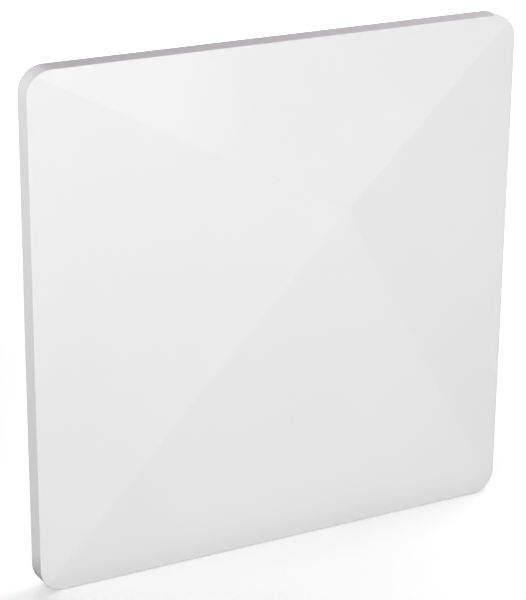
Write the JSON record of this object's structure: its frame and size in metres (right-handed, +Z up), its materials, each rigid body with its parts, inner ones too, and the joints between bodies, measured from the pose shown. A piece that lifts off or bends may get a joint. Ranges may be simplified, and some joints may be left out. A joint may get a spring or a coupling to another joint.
{
  "type": "wireless microphone antenna",
  "caption": "Flat square panel antenna for a wall: white faceted cover with an off-centre peak, recessed back with a square bolt pattern, bayonet coaxial socket",
  "frame": {"origin": "centre of the square bolt pattern, on the rear face of the back plate", "axes": "+Y from the panel into the wall, +Z up, +X to the right seen from the front"},
  "size_m": [0.34, 0.0382, 0.34],
  "materials": {
    "cover_white": "moulded white plastic with a fine spark-eroded texture",
    "back_white": "moulded white plastic, coarser texture",
    "sheet_aluminium": "bare rolled sheet",
    "nylon": "natural nylon",
    "board_laminate": "glass-epoxy laminate with solder mask",
    "copper": "bright copper",
    "brass": "machined brass",
    "nickel": "nickel plate",
    "fluoropolymer": "white waxy fluoropolymer",
    "gold_contact": "gold plate",
    "zinc_steel": "zinc-plated steel"
  },
  "bodies": {
    "root": {"front_cover": "cover_white", "back_plate": "back_white", "reflector": "sheet_aluminium", "radiator": "sheet_aluminium", "radiator_standoff_1": "nylon", "radiator_standoff_2": "nylon", "radiator_standoff_3": "nylon", "radiator_standoff_4": "nylon", "radiator_standoff_5": "nylon", "board_spacer_1": "nylon", "board_spacer_2": "nylon", "board_spacer_3": "nylon", "board_spacer_4": "nylon", "standoff_front_screws": "nylon", "standoff_rear_screws": "nylon", "feed_board": "board_laminate", "feed_trace": "copper", "feed_post": "brass", "mount_inserts": "brass", "jack_body": "nickel", "jack_lock_washer": "nickel", "jack_nut": "nickel", "jack_insulator": "fluoropolymer", "jack_contact": "gold_contact", "cover_screws": "zinc_steel", "reflector_screws": "zinc_steel", "feed_board_screws": "zinc_steel", "feed_post_screw": "zinc_steel"}
  },
  "joints": []
}
